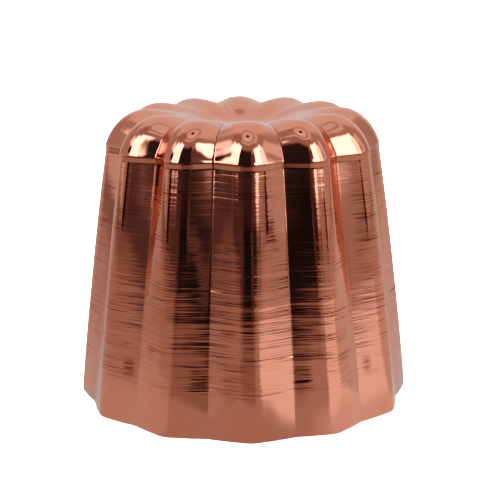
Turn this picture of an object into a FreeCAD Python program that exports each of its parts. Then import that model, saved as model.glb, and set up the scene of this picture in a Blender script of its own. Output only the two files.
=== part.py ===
import FreeCAD, Part
import math
import os

# Canele mould: one cup of thin copper sheet, drawn and fluted, lying mouth down.
# The origin is the centre of the mouth, on the plane of the rim, and +Z points to the closed end.
# Every flute is a lobe between two creases. A lobe's crest and a crease each follow a profile
# up the wall, over the shoulder and down into a shallow dish at the centre of the closed end.

SIZES = [
    # alias, value in millimetres, degrees or a count, what it is
    ("lobe_count", 12, "flutes round the wall"),
    ("mouth_radius", 27.5, "axis to a lobe's crest at the rim"),
    ("mould_height", 47.6, "rim to the top of the closed end"),
    ("wall_top_radius", 22.5, "axis to a lobe's crest at the line where the shoulder starts"),
    ("shoulder_start", 21.0, "degrees round the shoulder's ellipse, from level, at that line"),
    ("shoulder_drop", 8.6, "height of the ellipse that rounds the shoulder"),
    ("shoulder_reach", 7.2, "width of the same ellipse"),
    ("dish_radius", 7.5, "axis to the circle where the creases end"),
    ("dish_drop", 1.85, "that circle below the top"),
    ("floor_radius", 3.0, "flat spot at the centre of the dish"),
    ("mouth_crease_depth", 1.4, "crest to crease at the rim"),
    ("shoulder_crease_depth", 2.3, "crest to crease at the shoulder line"),
    ("mouth_crest_round", 3.5, "a lobe's crest radius at the rim"),
    ("sheet_thickness", 1.0, "copper and tin together"),
]

# How finely the skin is drawn: rows of points per stretch of profile, and points per half lobe.
WALL_ROWS = 6
SHOULDER_ROWS = 12
SLOPE_ROWS = 7
DISH_ROWS = 4
HALF_LOBE_STEPS = 8

# Power of the wall's taper, which bows it slightly outwards.
WALL_BOW = 1.15

# Share of the shoulder over which a crease turns from level to square under its crest.
TURN_IN = 0.35

# A crest's radius as a share of the one round that would reach from crease to crease without flanks.
CREST_SHARE = 0.72

# Powers of the crease's depth: how soon it deepens above the rim and how late it fades inside the shoulder.
DEEPENING = 1.5
FADING = 1.7

# Edges of neighbouring faces closer than this, in millimetres, are one edge.
JOIN_LIMIT = 0.001


def make_sheet(doc):
    sheet = doc.addObject("Spreadsheet::Sheet", "sizes")
    for row, (alias, value, meaning) in enumerate(SIZES, start=1):
        sheet.set(f"A{row}", alias)
        sheet.set(f"B{row}", str(value))
        sheet.set(f"C{row}", meaning)
        sheet.setAlias(f"B{row}", alias)
    doc.recompute()
    return sheet


class Flutes:
    """The outer form as formulas. A profile is followed by a station: the wall runs from 0 to 1,
    the shoulder from 1 to 2, the slope inside it from 2 to 3 and the dish from 3 to 4."""

    def __init__(self, sheet):
        for alias, _, _ in SIZES:
            setattr(self, alias, float(sheet.get(alias)))
        self.half_lobe = math.pi / self.lobe_count
        self.start = math.radians(self.shoulder_start)
        self.wall_height = self.mould_height - self.shoulder_drop * (1 - math.sin(self.start))
        self.ring_radius = self.wall_top_radius - self.shoulder_reach * math.cos(self.start)

    def crest(self, station):
        """Radius and height of a lobe's crest."""
        if station <= 1:
            narrowing = (self.mouth_radius - self.wall_top_radius) * station ** WALL_BOW
            return self.mouth_radius - narrowing, self.wall_height * station
        if station <= 2:
            turn = self.start + (math.pi / 2 - self.start) * (station - 1)
            radius = self.ring_radius + self.shoulder_reach * math.cos(turn)
            return radius, self.mould_height - self.shoulder_drop * (1 - math.sin(turn))
        slope_run = self.ring_radius - self.dish_radius
        if station <= 3:
            part = station - 2
            return self.ring_radius - slope_run * part, self.mould_height - self.dish_drop * part ** 2
        part = station - 3
        dish_run = self.dish_radius - self.floor_radius
        steepness = 2 * self.dish_drop / slope_run
        fall = steepness * dish_run * (part - part ** 2 / 2)
        return self.dish_radius - dish_run * part, self.mould_height - self.dish_drop - fall

    def crest_normal(self, station):
        """Direction square to the crest's profile, outwards."""
        step = 0.001
        r_before, z_before = self.crest(station - step)
        r_after, z_after = self.crest(station + step)
        length = math.hypot(r_after - r_before, z_after - z_before)
        return (z_after - z_before) / length, (r_before - r_after) / length

    def crease_depth(self, station):
        if station <= 1:
            growth = self.shoulder_crease_depth - self.mouth_crease_depth
            return self.shoulder_crease_depth - growth * (1 - station) ** DEEPENING
        fade = max(0.0, 1 - ((station - 1) / 2) ** FADING)
        return self.shoulder_crease_depth * fade ** 2

    def crease(self, station):
        """Radius and height of the bottom of a crease."""
        radius, height = self.crest(station)
        depth = self.crease_depth(station)
        if station <= 1:
            return radius - depth, height
        out, up = self.crest_normal(station)
        tilt = math.atan2(up, out) * min(1.0, (station - 1) / TURN_IN)
        return radius - depth * math.cos(tilt), height - depth * math.sin(tilt)

    def half_section(self, station):
        """Half a lobe from its crest to the crease: a round crest, then a straight flank that meets
        the next lobe's flank in the sharp crease. Where the creases fade, the flank shrinks to nothing."""
        crest_r, crest_z = self.crest(station)
        crease_r, crease_z = self.crease(station)
        base_r = crease_r * math.cos(self.half_lobe)
        width = crease_r * math.sin(self.half_lobe)
        rise = math.hypot(crest_r - base_r, crest_z - crease_z)
        out, up = (crest_r - base_r) / rise, (crest_z - crease_z) / rise
        fade = self.crease_depth(max(1.0, station)) / self.shoulder_crease_depth
        crest_round = (1 - (1 - CREST_SHARE) * fade) * (width ** 2 + rise ** 2) / (2 * rise)
        if station < 1:
            crest_round = self.mouth_crest_round + (crest_round - self.mouth_crest_round) * station
        drop = rise - crest_round
        flank = math.sqrt(max(0.0, width ** 2 + drop ** 2 - crest_round ** 2))
        flank_turn = math.atan2(width, -drop) - math.atan2(flank, crest_round)
        crest_length = crest_round * flank_turn
        points = []
        for part in half_lobe_parts():
            along = part * (crest_length + flank)
            turn = min(along, crest_length) / crest_round
            straight = max(0.0, along - crest_length)
            side = crest_round * math.sin(turn) + straight * math.cos(turn)
            lift = drop + crest_round * math.cos(turn) - straight * math.sin(turn)
            points.append(FreeCAD.Vector(base_r + out * lift, side, crease_z + up * lift))
        return points


def half_lobe_parts():
    """Parts of the way from crest to crease."""
    return [i / HALF_LOBE_STEPS for i in range(HALF_LOBE_STEPS + 1)]


def stations():
    """Stations of the rows of points, from the rim to the flat spot."""
    rows = [i / WALL_ROWS for i in range(WALL_ROWS)]
    rows += [1 + i / SHOULDER_ROWS for i in range(SHOULDER_ROWS)]
    rows += [2 + i / SLOPE_ROWS for i in range(SLOPE_ROWS)]
    rows += [3 + i / DISH_ROWS for i in range(DISH_ROWS + 1)]
    return rows


def outer_grid(flutes):
    """Points of one whole lobe, a row for each station, from crease to crease."""
    rows = []
    for station in stations():
        half = flutes.half_section(station)
        mirrored = [FreeCAD.Vector(p.x, -p.y, p.z) for p in reversed(half)]
        rows.append(mirrored[:-1] + half)
    return rows


def turned(point, angle):
    return FreeCAD.Rotation(FreeCAD.Vector(0, 0, 1), math.degrees(angle)).multVec(point)


def inner_grid(flutes, outer):
    """The outer points moved in by the sheet's thickness, square to the skin."""
    lobe_turn = 2 * flutes.half_lobe
    last = len(outer) - 1
    inner = []
    for i, row in enumerate(outer):
        # a neighbour's point on each side keeps the skin smooth across the creases
        wide = [turned(row[-2], -lobe_turn)] + row + [turned(row[1], lobe_turn)]
        above = outer[min(i + 1, last)]
        below = outer[max(i - 1, 0)]
        moved = []
        for j, point in enumerate(row):
            along = wide[j + 2] - wide[j]
            rising = above[j] - below[j]
            square = along.cross(rising).normalize()
            if i == 0:
                level = FreeCAD.Vector(square.x, square.y, 0)
                square = level / level.dot(level)
            if i == last:
                square = FreeCAD.Vector(0, 0, 1)
            moved.append(point - square * flutes.sheet_thickness)
        inner.append(moved)
    return inner


def distances(points):
    """Running length through a row of points, as the parameters of a curve through them."""
    run = [0.0]
    for a, b in zip(points, points[1:]):
        run.append(run[-1] + a.distanceToPoint(b))
    return run


def skin(rows, across, up):
    """Smooth surface through rows of points, at the given parameters across and up."""
    curves = []
    for row in rows:
        curve = Part.BSplineCurve()
        curve.interpolate(Points=row, Parameters=across)
        curves.append(curve)
    columns = []
    for poles in zip(*[curve.getPoles() for curve in curves]):
        column = Part.BSplineCurve()
        column.interpolate(Points=list(poles), Parameters=up)
        columns.append(column)
    surface = Part.BSplineSurface()
    surface.buildFromPolesMultsKnots(
        [column.getPoles() for column in columns],
        curves[0].getMultiplicities(), columns[0].getMultiplicities(),
        curves[0].getKnots(), columns[0].getKnots(),
        False, False, curves[0].Degree, columns[0].Degree)
    return surface.toShape()


def lobe_faces(rows, count):
    """The wall face and the crown face of every lobe, which meet at the shoulder line."""
    wall, crown = rows[:WALL_ROWS + 1], rows[WALL_ROWS:]
    half = half_lobe_parts()
    across = [-part for part in reversed(half)][:-1] + half
    middle = HALF_LOBE_STEPS
    faces = []
    for part in (wall, crown):
        face = skin(part, across, distances([row[middle] for row in part]))
        for k in range(count):
            faces.append(face.rotated(FreeCAD.Vector(), FreeCAD.Vector(0, 0, 1), 360.0 * k / count))
    return faces


def end_wire(faces, height):
    """Closed wire of the edges that lie at one height."""
    edges = []
    for face in faces:
        for edge in face.Edges:
            box = edge.BoundBox
            if abs(box.ZMax - height) < JOIN_LIMIT and abs(box.ZMin - height) < JOIN_LIMIT:
                edges.append(edge)
    return Part.Wire(Part.__sortEdges__(edges))


def closed_form(rows, count):
    """Solid inside one skin, closed by a flat face at the rim and one at the flat spot."""
    faces = lobe_faces(rows, count)
    mouth = Part.Face(end_wire(faces, 0))
    flat_spot = Part.Face(end_wire(faces, rows[-1][0].z))
    skins = Part.makeCompound(faces + [mouth, flat_spot])
    skins.sewShape(JOIN_LIMIT)
    solid = Part.makeSolid(skins.Shells[0])
    if solid.Volume < 0:
        solid.reverse()
    return solid


def add_form(doc, name, rows, count):
    form = doc.addObject("Part::Feature", name)
    form.Label = name
    form.Shape = closed_form(rows, count)
    form.Placement = FreeCAD.Placement()
    return form


def make_mould(doc, sheet):
    """The cup is the outer form less the hollow one sheet's thickness inside it."""
    flutes = Flutes(sheet)
    outer = outer_grid(flutes)
    count = int(flutes.lobe_count)
    mould = doc.addObject("Part::Cut", "mould_shell")
    mould.Label = "mould_shell"
    mould.Base = add_form(doc, "outer_form", outer, count)
    mould.Tool = add_form(doc, "hollow", inner_grid(flutes, outer), count)
    doc.recompute()
    return mould


def check(doc, part):
    for item in doc.Objects:
        if "Invalid" in item.State or "Error" in item.State:
            raise RuntimeError(item.Name + " failed")
    if part.Shape.isNull() or not part.Shape.isValid():
        raise RuntimeError(part.Name + " is not a valid solid")


def main():
    doc = FreeCAD.newDocument("canele_mould")
    mould = make_mould(doc, make_sheet(doc))
    check(doc, mould)
    os.makedirs("parts", exist_ok=True)
    mould.Shape.exportStep("parts/mould_shell.step")
    box = mould.Shape.BoundBox
    print("size", round(box.XLength, 2), round(box.YLength, 2), round(box.ZLength, 2))
    print("solids", len(mould.Shape.Solids), "faces", len(mould.Shape.Faces))
    print("volume", round(mould.Shape.Volume, 1))


main()
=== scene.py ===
import math

import bpy
import numpy as np
from mathutils import Matrix, Vector


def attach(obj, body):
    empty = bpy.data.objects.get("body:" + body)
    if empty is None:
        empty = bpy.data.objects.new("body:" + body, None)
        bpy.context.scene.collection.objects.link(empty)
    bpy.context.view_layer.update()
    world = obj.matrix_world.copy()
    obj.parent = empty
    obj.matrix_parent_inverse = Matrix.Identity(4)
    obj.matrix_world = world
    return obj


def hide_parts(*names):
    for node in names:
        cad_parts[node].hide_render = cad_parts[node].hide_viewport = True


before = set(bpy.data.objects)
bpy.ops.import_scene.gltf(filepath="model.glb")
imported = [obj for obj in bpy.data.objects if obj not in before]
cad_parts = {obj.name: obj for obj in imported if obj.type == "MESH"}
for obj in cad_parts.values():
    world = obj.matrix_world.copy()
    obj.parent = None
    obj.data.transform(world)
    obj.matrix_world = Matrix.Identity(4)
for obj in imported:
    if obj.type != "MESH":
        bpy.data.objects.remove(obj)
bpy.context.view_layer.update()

MM = 0.001

# Sizes of the mould in millimetres, with its shares and powers, as in the part's own sheet of sizes.
LOBE_COUNT = 12
MOUTH_RADIUS = 27.5
MOULD_HEIGHT = 47.6
WALL_TOP_RADIUS = 22.5
SHOULDER_START = math.radians(21.0)
SHOULDER_DROP = 8.6
SHOULDER_REACH = 7.2
WALL_BOW = 1.15
DISH_RADIUS = 7.5
DISH_DROP = 1.85
FLOOR_RADIUS = 3.0
MOUTH_CREASE_DEPTH = 1.4
SHOULDER_CREASE_DEPTH = 2.3
MOUTH_CREST_ROUND = 3.5
SHEET_THICKNESS = 1.0
CREST_SHARE = 0.72
TURN_IN = 0.35
DEEPENING = 1.5
FADING = 1.7

HALF_LOBE = math.pi / LOBE_COUNT
WALL_HEIGHT = MOULD_HEIGHT - SHOULDER_DROP * (1 - math.sin(SHOULDER_START))
RING_RADIUS = WALL_TOP_RADIUS - SHOULDER_REACH * math.cos(SHOULDER_START)

# Degrees by which the creases lie off their even places, from the one before +X round by +Y.
CREASE_SHIFTS = [-1.2, 0.5, 0.0, 0.0, 0.0, 0.0, -0.5, 1.0, 1.2, -0.2, 0.2, -2.0]

# The round at the bottom of a crease.
CREASE_ROUND = 0.25

# A flank of the full width swells by this much halfway, a narrower one by less.
FLANK_SWELL = 0.1
FULL_FLANK = 6.0
SWELL_POWER = 1.5

# Lines round the wall: height, half width, depth.
WALL_LINES = [(0.8, 0.16, 0.012), (7.1, 0.3, 0.01)]

# The wall is pressed in at the foot of the band under the shoulder, less so over a ramp below it.
LEDGE_FOOT = 41.1
LEDGE_RAMP = 10.0
LEDGE_DEPTH = 0.13

# How finely the skin is drawn: steps down a flank and in its crease, the crease's share of the way.
FLANK_STEPS = 13
CREASE_STEPS = 4
CREASE_SHARE = 0.09

# Rows of points up the mould, those on each side of a wall line, and the gap between the ledge's rows.
WALL_ROWS = 44
SHOULDER_ROWS = 28
SLOPE_ROWS = 14
DISH_ROWS = 8
LINE_ROWS = 4
LEDGE_GAP = 0.3

# A length too small to count.
TINY = 0.01


def crest(station):
    """Radius and height of a lobe's crest: wall 0 to 1, shoulder to 2, slope to 3, dish to 4."""
    if station <= 1:
        narrowing = (MOUTH_RADIUS - WALL_TOP_RADIUS) * station ** WALL_BOW
        return MOUTH_RADIUS - narrowing, WALL_HEIGHT * station
    if station <= 2:
        turn = SHOULDER_START + (math.pi / 2 - SHOULDER_START) * (station - 1)
        radius = RING_RADIUS + SHOULDER_REACH * math.cos(turn)
        return radius, MOULD_HEIGHT - SHOULDER_DROP * (1 - math.sin(turn))
    slope_run = RING_RADIUS - DISH_RADIUS
    if station <= 3:
        part = station - 2
        return RING_RADIUS - slope_run * part, MOULD_HEIGHT - DISH_DROP * part ** 2
    part = station - 3
    dish_run = DISH_RADIUS - FLOOR_RADIUS
    fall = 2 * DISH_DROP / slope_run * dish_run * (part - part ** 2 / 2)
    return DISH_RADIUS - dish_run * part, MOULD_HEIGHT - DISH_DROP - fall


def crest_normal(station):
    """The direction square to a crest's line: its parts outwards and upwards."""
    step = 0.001
    r_before, z_before = crest(station - step)
    r_after, z_after = crest(station + step)
    length = math.hypot(r_after - r_before, z_after - z_before)
    return (z_after - z_before) / length, (r_before - r_after) / length


def crease_depth(station):
    """Depth of a crease: it grows up the wall and fades out on the way into the dish."""
    if station <= 1:
        growth = SHOULDER_CREASE_DEPTH - MOUTH_CREASE_DEPTH
        return SHOULDER_CREASE_DEPTH - growth * (1 - station) ** DEEPENING
    fade = max(0.0, 1 - ((station - 1) / 2) ** FADING)
    return SHOULDER_CREASE_DEPTH * fade ** 2


def crease(station):
    """Radius and height of the bottom of a crease."""
    radius, height = crest(station)
    depth = crease_depth(station)
    if station <= 1:
        return radius - depth, height
    out, up = crest_normal(station)
    tilt = math.atan2(up, out) * min(1.0, (station - 1) / TURN_IN)
    return radius - depth * math.cos(tilt), height - depth * math.sin(tilt)


def half_lobe_parts():
    """Parts of the way from crest to crease, closer together in the crease."""
    even = [(1 - CREASE_SHARE) * i / FLANK_STEPS for i in range(FLANK_STEPS)]
    return even + [1 - CREASE_SHARE * (1 - i / CREASE_STEPS) for i in range(CREASE_STEPS + 1)]


def crest_rounding(station, far, top):
    """Radius of the round on a crest. The crease's round has its centre far beside and top below it."""
    full_round = (far ** 2 + top ** 2 - CREASE_ROUND ** 2) / (2 * (top + CREASE_ROUND))
    fade = crease_depth(max(1.0, station)) / SHOULDER_CREASE_DEPTH
    rounding = full_round * (1 - (1 - CREST_SHARE) * fade)
    if station < 1:
        rounding = MOUTH_CREST_ROUND + (rounding - MOUTH_CREST_ROUND) * station
    return rounding


def flank_swell(straight, flank):
    """How far a flank stands out at a distance down it."""
    bulge = max(0.0, math.sin(math.pi * straight / max(flank, TINY)))
    return FLANK_SWELL * (flank / FULL_FLANK) ** 2 * bulge ** SWELL_POWER


def lobe_outline(rise, far, top, slant, crest_round):
    """Half a lobe, sideways and up: a round crest, a flank that swells a little, a small round."""
    both = crest_round + CREASE_ROUND
    below = crest_round - top
    flank = math.sqrt(max(0.0, far ** 2 + below ** 2 - both ** 2))
    turn_end = math.atan2(far, below) - math.atan2(flank, both)
    crest_length = crest_round * turn_end
    crease_length = CREASE_ROUND * max(0.0, turn_end - slant)
    points = []
    for part in half_lobe_parts():
        along = part * (crest_length + flank + crease_length)
        turn = min(along, crest_length) / crest_round
        straight = min(max(0.0, along - crest_length), flank)
        side = crest_round * math.sin(turn) + straight * math.cos(turn)
        lift = rise - crest_round * (1 - math.cos(turn)) - straight * math.sin(turn)
        bend = turn_end - max(0.0, along - crest_length - flank) / CREASE_ROUND
        if bend < turn_end:
            side += CREASE_ROUND * (math.sin(turn_end) - math.sin(bend))
            lift -= CREASE_ROUND * (math.cos(bend) - math.cos(turn_end))
        swell = flank_swell(straight, flank)
        points.append((side + swell * math.sin(turn_end), lift + swell * math.cos(turn_end)))
    return points


def half_section(station):
    """Points of half a lobe at a station, from its crest to its crease."""
    crest_r, crest_z = crest(station)
    crease_r, crease_z = crease(station)
    base_r = crease_r * math.cos(HALF_LOBE)
    width = crease_r * math.sin(HALF_LOBE)
    rise = math.hypot(crest_r - base_r, crest_z - crease_z)
    out, up = (crest_r - base_r) / rise, (crest_z - crease_z) / rise
    slant = math.atan(out * math.tan(HALF_LOBE))
    far = width + CREASE_ROUND * math.sin(slant)
    top = rise - CREASE_ROUND * math.cos(slant)
    points = lobe_outline(rise, far, top, slant, crest_rounding(station, far, top))
    return [(base_r + out * lift, side, crease_z + up * lift) for side, lift in points]


def wall_heights():
    """Heights of the wall's rows, closer together at its lines and at the ledge."""
    heights = {WALL_HEIGHT * i / WALL_ROWS for i in range(WALL_ROWS)}
    heights |= {LEDGE_FOOT + LEDGE_GAP * k for k in range(-1, 3)}
    for line, width, _ in WALL_LINES:
        heights = {z for z in heights if z < TINY or abs(z - line) > 2 * width}
        heights |= {line + 2 * width * k / LINE_ROWS for k in range(-LINE_ROWS, LINE_ROWS + 1)}
    return sorted(z for z in heights if z < WALL_HEIGHT - TINY)


def pressed_in(height):
    """How far the wall is pressed in at a height."""
    depth = 0.0
    for line, width, deep in WALL_LINES:
        depth += deep * max(0.0, 1 - ((height - line) / width) ** 2) ** 2
    above = height - LEDGE_FOOT
    reach = WALL_HEIGHT - LEDGE_FOOT if above > 0 else LEDGE_RAMP
    return depth + LEDGE_DEPTH * max(0.0, 1 - abs(above) / reach)


def stations():
    """Stations of the rings, from the rim over the shoulder to the dish's flat floor."""
    rows = [z / WALL_HEIGHT for z in wall_heights()]
    rows += [1 + i / SHOULDER_ROWS for i in range(SHOULDER_ROWS)]
    rows += [2 + i / SLOPE_ROWS for i in range(SLOPE_ROWS)]
    rows += [3 + i / DISH_ROWS for i in range(DISH_ROWS + 1)]
    return rows


def turned(points, turn):
    """Points turned round the mould's axis, each by its own turn or all by one."""
    cos, sin = np.cos(turn), np.sin(turn)
    x, y, z = points.T
    return np.column_stack([x * cos - y * sin, x * sin + y * cos, z])


def uneven(ring):
    """Turns the points of a ring so that the creases come to their own places."""
    creases = [2 * HALF_LOBE * k - HALF_LOBE for k in range(LOBE_COUNT)]
    azimuths = np.arctan2(ring[:, 1], ring[:, 0])
    shifts = np.interp(azimuths, creases, np.radians(CREASE_SHIFTS), period=2 * math.pi)
    return turned(ring, shifts)


def outer_rings():
    """Rings of points, from the rim to the dish's floor, each starting at the crease before +X."""
    rings = []
    for station in stations():
        half = half_section(station)
        lobe = np.array([(x, -y, z) for x, y, z in reversed(half)][:-1] + half[:-1])
        if station < 1:
            lobe[:, :2] *= 1 - pressed_in(station * WALL_HEIGHT) / crest(station)[0]
        lobes = [turned(lobe, 2 * HALF_LOBE * k) for k in range(LOBE_COUNT)]
        rings.append(uneven(np.vstack(lobes)))
    return np.array(rings)


def grid_normals(rings):
    """For each point of the rings, the direction straight out of the skin."""
    around = np.roll(rings, -1, axis=1) - np.roll(rings, 1, axis=1)
    up = np.gradient(rings, axis=0)
    square = np.cross(around, up)
    return square / np.linalg.norm(square, axis=2, keepdims=True)


def inner_rings(outer):
    """The outer rings moved in by the sheet's thickness, and level with the rim at the mouth."""
    square = grid_normals(outer)
    level = square[0] * [1, 1, 0]
    square[0] = level / np.sum(level ** 2, axis=1, keepdims=True)
    return outer - square * SHEET_THICKNESS


def flank_parts():
    """For each point of a ring, how far down the flank it lies: 0 on the crest, 1 in the crease."""
    half = half_lobe_parts()
    return np.tile(half[::-1][:-1] + half[:-1], LOBE_COUNT)


def ring_faces(first, rows, columns, flip=False):
    """Faces between rings of points, the first of which is given."""
    faces = []
    for i in range(rows - 1):
        for j in range(columns):
            a = first + i * columns + j
            b = first + i * columns + (j + 1) % columns
            quad = (a, b, b + columns, a + columns)
            faces.append(quad[::-1] if flip else quad)
    return faces


def cup_faces(rows, columns):
    """Faces of both skins, the rim and the dish's two floors, and for each whether it is tinned."""
    inner = rows * columns
    outer_skin = ring_faces(0, rows, columns)
    inner_skin = ring_faces(inner, rows, columns, flip=True)
    rim = [((j + 1) % columns, j, inner + j, inner + (j + 1) % columns) for j in range(columns)]
    outer_floor = tuple(range(inner - columns, inner))
    inner_floor = tuple(inner + corner for corner in reversed(outer_floor))
    faces = outer_skin + inner_skin + rim + [outer_floor, inner_floor]
    tinned = [0] * len(outer_skin) + [1] * len(inner_skin) + [0] * len(rim) + [0, 1]
    return faces, tinned


def make_cup():
    """The whole mould as one closed skin, copper outside and tinned inside."""
    outer = outer_rings()
    rows, columns = outer.shape[:2]
    points = np.vstack([outer.reshape(-1, 3), inner_rings(outer).reshape(-1, 3)])
    faces, tinned = cup_faces(rows, columns)
    mesh = bpy.data.meshes.new("cup")
    mesh.from_pydata([tuple(point * MM) for point in points], [], faces)
    mesh.update()
    mesh.shade_smooth()
    mesh.polygons.foreach_set("material_index", tinned)
    flanks = mesh.attributes.new("flank", "FLOAT", "POINT")
    flanks.data.foreach_set("value", np.tile(flank_parts(), 2 * rows))
    cup = bpy.data.objects.new("copper_cup", mesh)
    bpy.context.scene.collection.objects.link(cup)
    return cup


# Camera, as found from the photograph's outline and creases. Its distance and aim are in millimetres.
CAMERA_AZIMUTH = math.radians(-2.49)
CAMERA_ELEVATION = math.radians(13.25)
CAMERA_DISTANCE = 227.3
CAMERA_AIM_HEIGHT = 25.0
CAMERA_ROLL = math.radians(-0.30)
CAMERA_LENS = 97.69
CAMERA_SENSOR = 36.0
CAMERA_SHIFT = (0.01324, -0.01522)
CAMERA_CLIP = (0.01, 50.0)


def make_camera():
    data = bpy.data.cameras.new("camera")
    data.lens = CAMERA_LENS
    data.sensor_width = CAMERA_SENSOR
    data.shift_x, data.shift_y = CAMERA_SHIFT
    data.clip_start, data.clip_end = CAMERA_CLIP
    camera = bpy.data.objects.new("camera", data)
    back = Vector((math.sin(CAMERA_AZIMUTH) * math.cos(CAMERA_ELEVATION),
                   -math.cos(CAMERA_AZIMUTH) * math.cos(CAMERA_ELEVATION),
                   math.sin(CAMERA_ELEVATION)))
    aim = Vector((0, 0, CAMERA_AIM_HEIGHT * MM))
    turn = (-back).to_track_quat("-Z", "Y").to_matrix().to_4x4()
    roll = Matrix.Rotation(CAMERA_ROLL, 4, "Z")
    camera.matrix_world = Matrix.Translation(aim + back * CAMERA_DISTANCE * MM) @ turn @ roll
    bpy.context.scene.collection.objects.link(camera)
    bpy.context.scene.camera = camera


class Nodes:
    """Short words for building a node tree."""

    def __init__(self, tree):
        self.tree = tree
        tree.nodes.clear()

    def add(self, kind, inputs=(), **settings):
        """A new node. Each of its inputs is a value or the output of another node."""
        node = self.tree.nodes.new(kind)
        for name, value in settings.items():
            setattr(node, name, value)
        for key, value in dict(inputs).items():
            if isinstance(value, bpy.types.NodeSocket):
                self.tree.links.new(value, node.inputs[key])
            else:
                node.inputs[key].default_value = value
        return node

    def surface(self, kind, inputs):
        """The shader that a material ends in."""
        self.add("ShaderNodeOutputMaterial", {"Surface": self.add(kind, inputs).outputs[0]})

    def math(self, operation, a, b=0.0):
        return self.add("ShaderNodeMath", {0: a, 1: b}, operation=operation).outputs[0]

    def plus(self, a, b):
        return self.math("ADD", a, b)

    def minus(self, a, b):
        return self.math("SUBTRACT", a, b)

    def times(self, a, b):
        return self.math("MULTIPLY", a, b)

    def vector(self, operation, a, b=(0.0, 0.0, 0.0)):
        return self.add("ShaderNodeVectorMath", {0: a, 1: b}, operation=operation).outputs[0]

    def scaled(self, vector, factor):
        return self.add("ShaderNodeVectorMath", {0: vector, "Scale": factor}, operation="SCALE").outputs[0]

    def distance(self, a, b=(0.0, 0.0, 0.0)):
        return self.add("ShaderNodeVectorMath", {0: a, 1: b}, operation="DISTANCE").outputs["Value"]

    def split(self, vector):
        """The x, y and z of a vector."""
        return self.add("ShaderNodeSeparateXYZ", {0: vector}).outputs

    def upward(self, value):
        """A vector straight up, of a given length."""
        return self.add("ShaderNodeCombineXYZ", {2: value}).outputs[0]

    def grey(self, light):
        return self.add("ShaderNodeCombineColor", {0: light, 1: light, 2: light}).outputs[0]

    def mix(self, factor, a, b):
        """a where factor is 0, b where it is 1."""
        return self.plus(self.times(self.minus(b, a), factor), a)

    def ramp(self, value, low, high):
        """0 below low, 1 above high, smooth between them."""
        inputs = {0: value, 1: low, 2: high}
        return self.add("ShaderNodeMapRange", inputs, interpolation_type="SMOOTHSTEP").outputs[0]

    def fall(self, value, low, high):
        """1 below low, 0 above high, smooth between them."""
        return self.minus(1.0, self.ramp(value, low, high))

    def window(self, value, low, high, edge):
        """1 between low and high, 0 outside them, with soft edges."""
        rise = self.ramp(value, low - edge, low + edge)
        return self.times(rise, self.fall(value, high - edge, high + edge))

    def noise(self, place, grain, detail=2.0, roughness=0.5):
        """Noise from 0 to 1 with so many waves in a metre, level and upright."""
        level, upright = grain
        waves = self.vector("MULTIPLY", place, (level, level, upright))
        inputs = {"Vector": waves, "Scale": 1.0, "Detail": detail, "Roughness": roughness}
        return self.add("ShaderNodeTexNoise", inputs).outputs[0]

    def ripple(self, place, grain, roughness=0.5):
        """Noise that swings about zero."""
        return self.minus(self.noise(place, grain, roughness=roughness), 0.5)


def new_material(name):
    """A material, and the words that build its nodes."""
    material = bpy.data.materials.new(name)
    material.use_nodes = True
    return material, Nodes(material.node_tree)


def bearing(n, vector):
    """Degrees round from the camera's side, towards +X."""
    x, y, _ = n.split(vector)
    return n.math("DEGREES", n.math("ARCTAN2", x, n.times(y, -1.0)))


# The copper, where it is plain, and what it darkens towards.
COPPER = (0.95, 0.515, 0.405, 1.0)
DARK_COPPER = (0.12, 0.035, 0.02, 1.0)
PLAIN_ROUGHNESS = 0.04
BRUSHED_ROUGHNESS = 0.07

# The wall is brushed from one height to another, in millimetres with a soft edge, and less so higher up.
BRUSHED = (7.1, 40.5, 0.12)
LESSENING = (17.0, 29.0)
HIGH_UP_TILT = 0.2
HIGH_SIDEWAYS_TILT = 0.5
PLAIN_UP_TILT = 0.03

# The brushing's lines waver by a height in metres. They are stronger in clusters, which come out
# between two levels of their noise. A grain is waves in a metre, level and upright, so that the lines
# are long and thin.
WAVER_GRAIN = (70.0, 150.0)
WAVER_HEIGHT = 0.00018
CLUSTER_GRAIN = (60.0, 260.0)
CLUSTER_LEVELS = (0.38, 0.66)

# Kinds of lines: grain, the levels between which they come out, tilt outside and inside the clusters.
FINE_GRAIN = (70.0, 6500.0)
FINE_TILT = (0.18, 0.38)
BROAD_GRAIN = (50.0, 2400.0)
BROAD_TILT = 0.05
UP_GRAIN = (65.0, 5200.0)
UP_LEVELS = (0.60, 0.74)
UP_TILT = (0.02, 0.10)
DOWN_GRAIN = (75.0, 5600.0)
DOWN_LEVELS = (0.62, 0.74)
DOWN_TILT = (0.03, 0.14)
SIDEWAYS_GRAIN = (160.0, 4400.0)
SIDEWAYS_TILT = (0.10, 0.24)

# Roughness of the noise where it has to look crisp.
CRISP = 0.6

# Soft dents all over: their waves in a metre, and how far they turn the surface.
DENT_GRAIN = 160.0
DENT_TILT = 0.03

# Painted shade in the fine grooves of the brushing, in groups, on the part of a flank that is away from the
# crease.
GROOVE_GRAIN = (95.0, 6200.0)
GROOVE_LEVELS = (0.53, 0.66)
GROUP_GRAIN = (130.0, 420.0)
GROUP_LEVELS = (0.42, 0.62)
GROOVE_FLANK = (0.55, 0.85)
GROOVE_SHADE = 0.5

# Dark smudges low on the wall: azimuth from, to in degrees, strength. Then their edge, heights and streaks.
SMUDGES = [(-50, -46, 0.45), (-21, -15.5, 0.6), (15.5, 21, 0.9), (46, 49, 0.45)]
SMUDGE_EDGE = 1.5
SMUDGE_HEIGHTS = (7.6, 10.4, 0.9)
STREAK_GRAIN = (110.0, 4200.0)
STREAK_LEVELS = (0.36, 0.56)

# Painted shade as thin dark lines in the creases of the crown: from which height, radius and part of the
# flank.
CROWN_HEIGHTS = (40.0, 42.0)
CROWN_RADII = (7.0, 9.0)
CREASE_FLANK = (0.965, 0.995)
CREASE_SHADE = 0.42

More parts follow.
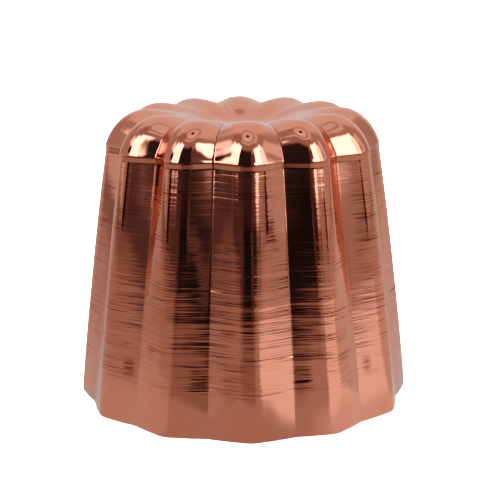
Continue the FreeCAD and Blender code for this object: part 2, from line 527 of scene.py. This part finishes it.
# The dull round mark on the far lobe: its centre and radius in millimetres, its plain middle's share.
MARK_PLACE = (-0.2, 8.0, 45.9)
MARK_RADIUS = 1.0
MARK_MIDDLE = 0.8
MARK_SHADE = 0.22
MARK_ROUGHNESS = 0.35

# A dull film, thin on the crests and thicker down the flanks.
FILM_FLANK = (0.35, 0.75)
FILM_WEIGHT = (0.06, 0.65)
FILM_ROUGHNESS = 0.3
FILM_IOR = 1.5


def brushed_tilts(n, place):
    """How far the brushing turns the surface up and sideways. Its fine lines run round the mould."""
    waver = n.times(n.noise(place, WAVER_GRAIN, detail=1.0), WAVER_HEIGHT)
    line = n.vector("ADD", place, n.upward(waver))
    cluster = n.ramp(n.noise(place, CLUSTER_GRAIN), *CLUSTER_LEVELS)
    up_lines = n.ramp(n.noise(line, UP_GRAIN, detail=1.0), *UP_LEVELS)
    down_lines = n.ramp(n.noise(line, DOWN_GRAIN, detail=1.0), *DOWN_LEVELS)
    up = n.times(n.ripple(line, FINE_GRAIN, CRISP), n.mix(cluster, *FINE_TILT))
    up = n.plus(up, n.times(n.ripple(line, BROAD_GRAIN), BROAD_TILT))
    up = n.minus(up, n.times(down_lines, n.mix(cluster, *DOWN_TILT)))
    up = n.plus(up, n.times(up_lines, n.mix(cluster, *UP_TILT)))
    sideways = n.times(n.ripple(line, SIDEWAYS_GRAIN, CRISP), n.mix(cluster, *SIDEWAYS_TILT))
    return up, sideways


def dents(n, place):
    """How far the soft dents turn the surface."""
    inputs = {"Vector": place, "Scale": DENT_GRAIN, "Detail": 1.0}
    soft = n.add("ShaderNodeTexNoise", inputs).outputs["Color"]
    return n.scaled(n.vector("SUBTRACT", soft, (0.5, 0.5, 0.5)), DENT_TILT)


def bent_normal(n, place, height, brushed):
    """The surface's own direction, turned by the brushing and the dents."""
    normal = n.add("ShaderNodeNewGeometry").outputs["Normal"]
    up, sideways = brushed_tilts(n, place)
    high = n.ramp(height, *LESSENING)
    up = n.times(up, n.mix(brushed, PLAIN_UP_TILT, n.mix(high, 1.0, HIGH_UP_TILT)))
    sideways = n.times(sideways, n.times(brushed, n.mix(high, 1.0, HIGH_SIDEWAYS_TILT)))
    around = n.vector("CROSS_PRODUCT", (0.0, 0.0, 1.0), normal)
    bent = normal
    for part in (n.scaled(around, sideways), n.upward(up), dents(n, place)):
        bent = n.vector("ADD", bent, part)
    return n.vector("NORMALIZE", bent)


def painted_groove_shade_mask(n, place):
    """1 where shade is painted in the fine grooves of the brushing, in short runs and loose groups."""
    fine = n.ramp(n.noise(place, GROOVE_GRAIN, roughness=CRISP), *GROOVE_LEVELS)
    return n.times(fine, n.ramp(n.noise(place, GROUP_GRAIN), *GROUP_LEVELS))


def smudges(n, place, height):
    """The dark smudges by the creases, where the brushing ends."""
    around = bearing(n, place)
    patches = 0.0
    for start, end, strength in SMUDGES:
        patches = n.plus(patches, n.times(n.window(around, start, end, SMUDGE_EDGE), strength))
    streak = n.ramp(n.noise(place, STREAK_GRAIN), *STREAK_LEVELS)
    return n.times(n.times(patches, streak), n.window(height, *SMUDGE_HEIGHTS))


def painted_crease_shade_mask(n, place, height, flank):
    """1 where shade is painted in the bottom of a crease of the crown."""
    radius = n.distance(n.vector("MULTIPLY", place, (1 / MM, 1 / MM, 0.0)))
    crown = n.times(n.ramp(height, *CROWN_HEIGHTS), n.ramp(radius, *CROWN_RADII))
    return n.times(n.ramp(flank, *CREASE_FLANK), crown)


def round_mark(n, place):
    """1 in the dull round mark."""
    centre = tuple(x * MM for x in MARK_PLACE)
    return n.fall(n.distance(place, centre), MARK_MIDDLE * MARK_RADIUS * MM, MARK_RADIUS * MM)


def copper_material():
    material, n = new_material("copper")
    place = n.add("ShaderNodeTexCoord").outputs["Object"]
    flank = n.add("ShaderNodeAttribute", attribute_name="flank").outputs["Fac"]
    height = n.math("DIVIDE", n.split(place)[2], MM)
    brushed = n.window(height, *BRUSHED)
    mark = round_mark(n, place)
    # Painted shade in the brushing's fine grooves, away from the creases.
    painted_groove_shade = n.times(painted_groove_shade_mask(n, place), n.times(brushed, n.fall(flank, *GROOVE_FLANK)))
    # Painted shade in the crown's creases, added to the round mark's own darkening.
    shade = n.plus(n.times(painted_crease_shade_mask(n, place, height, flank), CREASE_SHADE),
                   n.times(mark, MARK_SHADE))
    shade = n.plus(shade, n.times(painted_groove_shade, GROOVE_SHADE))
    shade = n.math("MAXIMUM", shade, smudges(n, place, height))
    colour = n.add("ShaderNodeMix", {"Factor": shade, "A": COPPER, "B": DARK_COPPER}, data_type="RGBA")
    bent = bent_normal(n, place, height, brushed)
    n.surface("ShaderNodeBsdfPrincipled", {
        "Base Color": colour.outputs["Result"],
        "Metallic": 1.0,
        "Roughness": n.mix(mark, n.mix(brushed, PLAIN_ROUGHNESS, BRUSHED_ROUGHNESS), MARK_ROUGHNESS),
        "Normal": bent,
        "Coat Weight": n.mix(n.ramp(flank, *FILM_FLANK), *FILM_WEIGHT),
        "Coat Roughness": FILM_ROUGHNESS,
        "Coat IOR": FILM_IOR,
        "Coat Normal": bent})
    return material


# The tinned inside, wiped on by hand: grain in waves in a metre, roughness, and its relief in metres.
TIN = (0.66, 0.645, 0.62, 1.0)
TIN_GRAIN = (300.0, 120.0)
TIN_DETAIL = 4.0
TIN_ROUGHNESS = (0.18, 0.43)
TIN_RELIEF = 0.0001
TIN_RELIEF_STRENGTH = 0.3


def tin_material():
    material, n = new_material("tin")
    place = n.add("ShaderNodeTexCoord").outputs["Object"]
    wiped = n.noise(place, TIN_GRAIN, TIN_DETAIL, CRISP)
    bump = n.add("ShaderNodeBump", {
        "Strength": TIN_RELIEF_STRENGTH, "Distance": TIN_RELIEF, "Height": wiped})
    n.surface("ShaderNodeBsdfPrincipled", {
        "Base Color": TIN,
        "Metallic": 1.0,
        "Roughness": n.mix(wiped, *TIN_ROUGHNESS),
        "Normal": bump.outputs[0]})
    return material


# The studio is a pale tent with dark gaps and two soft boxes. Each row is a patch of light:
# azimuth from, to, elevation from, to in degrees, the softness of both edges, light.
# Azimuth 0 is towards the camera and 90 is +X.
TENT_LIGHT = 0.72
TENT = [
    # The tent's cloth and its top.
    (-152, 134, -90, 40, 10, 6, 0.50),
    (-126, 122, 36, 62, 6, 4, 0.50),
    (-126, -68, 58, 74, 6, 2, 0.44),
    (-116, 54, 50, 66, 6, 2, 0.44),
    (50, 112, 42, 58, 6, 3, 0.50),
    (-70, 60, 75, 86, 8, 2, 0.80),
    (-181, 181, 70.5, 74, 1, 1.5, 0.50),
    (-181, 181, 86, 95, 1, 1, 0.12),
    (80, 106, 8, 42, 4, 4, 0.76),
    (84, 92, 17, 27, 2, 2, 0.52),
    # The soft box on the left and the dark gap beside it.
    (-108, -84, 30, 43, 5, 3, 1.15),
    (-90, -52, 32, 52, 3, 3, 1.9),
    (-72, -43, 40, 58, 3, 3, 1.9),
    (-80, -44, 5.5, 40, 2, 1.5, 1.8),
    (-77, -62, 3.5, 12, 2, 1.5, 1.15),
    (-93, -82, 20, 29, 2, 2, 0.10),
    # The soft box on the right.
    (30, 52, 6.5, 54, 3, 2, 1.9),
    (22, 36, 7.5, 26, 2, 2, 1.9),
    (27, 39, 3.7, 7, 2, 1, 1.5),
    (45, 74, 5, 52, 4, 2, 1.9),
    (58, 80, 3, 43, 3, 1.5, 1.4),
    # The dark opening towards the camera.
    (-44, 14, 3.5, 52, 3, 4, 0.12),
    (-38, 14, 0.5, 6, 4, 4, 0.17),
    (11, 22, 3, 30, 2, 3, 0.26),
    (11, 29, 28, 46, 2, 4, 0.26),
    # The foot of the tent, from the left round to the right.
    (-126, -97, -9, 3, 5, 1.5, 0.64),
    (-97, -84, -9, 3, 3, 1.5, 0.44),
    (-84, -64, -9, 3, 4, 1, 0.20),
    (-84, -77, -4, 3.5, 1.5, 1, 0.05),
    (-64, -22, -9, 4, 4, 2, 0.20),
    (-48, -12, -9, -4.5, 5, 1.5, 0.28),
    (-22, 9, -6, 4, 3, 2, 0.08),
    (5, 11, -1, 3.5, 1.5, 1, 0.26),
    (11, 27, -9, 4, 3, 1, 0.13),
    (27, 44, -9, 2.2, 3, 1, 0.30),
    (44, 56, -9, 4, 3, 1.5, 0.44),
    (56, 66, -9, 3, 3, 1, 0.40),
    (65, 71, -6, 2.5, 1.5, 1, 0.10),
    (71, 110, -9, 2.5, 2, 1, 0.55),
]

# The table as the copper sees it: bearing from, to in degrees, distance from, to in millimetres,
# the softness of both edges, light.
TABLE_LIGHT = 0.58
TABLE = [
    (-120, -30, 80, 2000, 15, 40, 0.47),
    (-120, -30, 350, 2000, 15, 120, 0.34),
    (-32, 20, 62, 2000, 10, 18, 0.39),
    (-32, 20, 250, 2000, 10, 90, 0.27),
    (-28, 18, 420, 2000, 8, 100, 0.12),
    (22, 130, -50, 2000, 6, 1, 0.62),
    (14, 32, 55, 2000, 5, 15, 0.50),
    (-32, 22, 20, 62, 5, 1, 0.50),
    (28, 74, 20, 60, 4, 1, 0.70),
    (28, 74, 42, 230, 4, 10, 0.84),
    (24, 115, 230, 2000, 8, 90, 0.52),
    (24, 115, 600, 2000, 8, 200, 0.43),
]

# The stage, in metres. The camera sees a white backdrop and a white floor, the copper sees the table,
# which lies just under the floor.
BACKDROP_LIGHT = 1.05
STAGE_CORNERS = 72
STAGE_RADIUS = 8.0
STAGE_COLOUR = (0.9, 0.9, 0.9, 1.0)
TABLE_RADIUS = 1.0
TABLE_LEVEL = -0.0001
LAMP_SIZE = 4.0
LAMP_HEIGHT = 1.5
LAMP_POWER = 120.0


def patched(n, light, across, up, patches):
    """Lays patches of light over one another, the last on top."""
    for across_from, across_to, up_from, up_to, across_edge, up_edge, level in patches:
        mask = n.times(n.window(across, across_from, across_to, across_edge),
                       n.window(up, up_from, up_to, up_edge))
        light = n.mix(mask, light, level)
    return light


def build_world():
    """The tent, and the white backdrop that the camera sees in its place."""
    world = bpy.data.worlds.new("tent")
    world.use_nodes = True
    bpy.context.scene.world = world
    n = Nodes(world.node_tree)
    way = n.add("ShaderNodeTexCoord").outputs["Generated"]
    elevation = n.math("DEGREES", n.math("ARCSINE", n.split(way)[2]))
    light = patched(n, TENT_LIGHT, bearing(n, way), elevation, TENT)
    seen = n.add("ShaderNodeLightPath").outputs["Is Camera Ray"]
    light = n.mix(seen, light, BACKDROP_LIGHT)
    shader = n.add("ShaderNodeBackground", {"Color": n.grey(light), "Strength": 1.0})
    n.add("ShaderNodeOutputWorld", {"Surface": shader.outputs[0]})


def stage_disc(name, radius, height, material):
    """A flat round piece of the stage."""
    corners = [2 * math.pi * k / STAGE_CORNERS for k in range(STAGE_CORNERS)]
    mesh = bpy.data.meshes.new(name)
    mesh.from_pydata([(radius * math.cos(a), radius * math.sin(a), height) for a in corners], [],
                     [tuple(range(STAGE_CORNERS))])
    mesh.materials.append(material)
    item = bpy.data.objects.new(name, mesh)
    bpy.context.scene.collection.objects.link(item)
    return item


def make_floor():
    material, n = new_material("floor")
    n.surface("ShaderNodeBsdfDiffuse", {"Color": STAGE_COLOUR})
    floor = stage_disc("floor", STAGE_RADIUS, 0.0, material)
    floor.visible_glossy = False


def make_table():
    """What the copper sees of the table it stands on."""
    material, n = new_material("table")
    place = n.add("ShaderNodeTexCoord").outputs["Object"]
    distance = n.math("DIVIDE", n.distance(place), MM)
    light = patched(n, TABLE_LIGHT, bearing(n, place), distance, TABLE)
    n.surface("ShaderNodeEmission", {"Color": n.grey(light), "Strength": 1.0})
    table = stage_disc("table", TABLE_RADIUS, TABLE_LEVEL, material)
    table.visible_camera = False
    table.visible_diffuse = False
    table.visible_shadow = False


def make_floor_light():
    """Lights the floor white. The copper doesn't mirror it."""
    data = bpy.data.lights.new("floor_light", "AREA")
    data.shape = "DISK"
    data.size = LAMP_SIZE
    data.energy = LAMP_POWER
    lamp = bpy.data.objects.new("floor_light", data)
    lamp.location = (0.0, 0.0, LAMP_HEIGHT)
    lamp.visible_glossy = False
    lamp.visible_camera = False
    bpy.context.scene.collection.objects.link(lamp)


# The camera's contrast: darker middle tones. The last of the four curves is for all colours together.
TONE_CURVE = [(0.0, 0.0), (0.115, 0.018), (0.163, 0.043), (0.231, 0.097),
              (0.332, 0.2), (0.506, 0.4), (0.83, 0.8), (1.0, 1.0)]
ALL_COLOURS = 3


def set_tone():
    view = bpy.context.scene.view_settings
    view.view_transform = "Standard"
    view.use_curve_mapping = True
    mapping = view.curve_mapping
    curve = mapping.curves[ALL_COLOURS]
    curve.points[0].location = TONE_CURVE[0]
    curve.points[1].location = TONE_CURVE[-1]
    for point in TONE_CURVE[1:-1]:
        curve.points.new(*point)
    mapping.update()


cup = make_cup()
cup.data.materials.append(copper_material())
cup.data.materials.append(tin_material())
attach(cup, "root")
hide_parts("mould_shell")
make_camera()
build_world()
make_floor()
make_table()
make_floor_light()
set_tone()
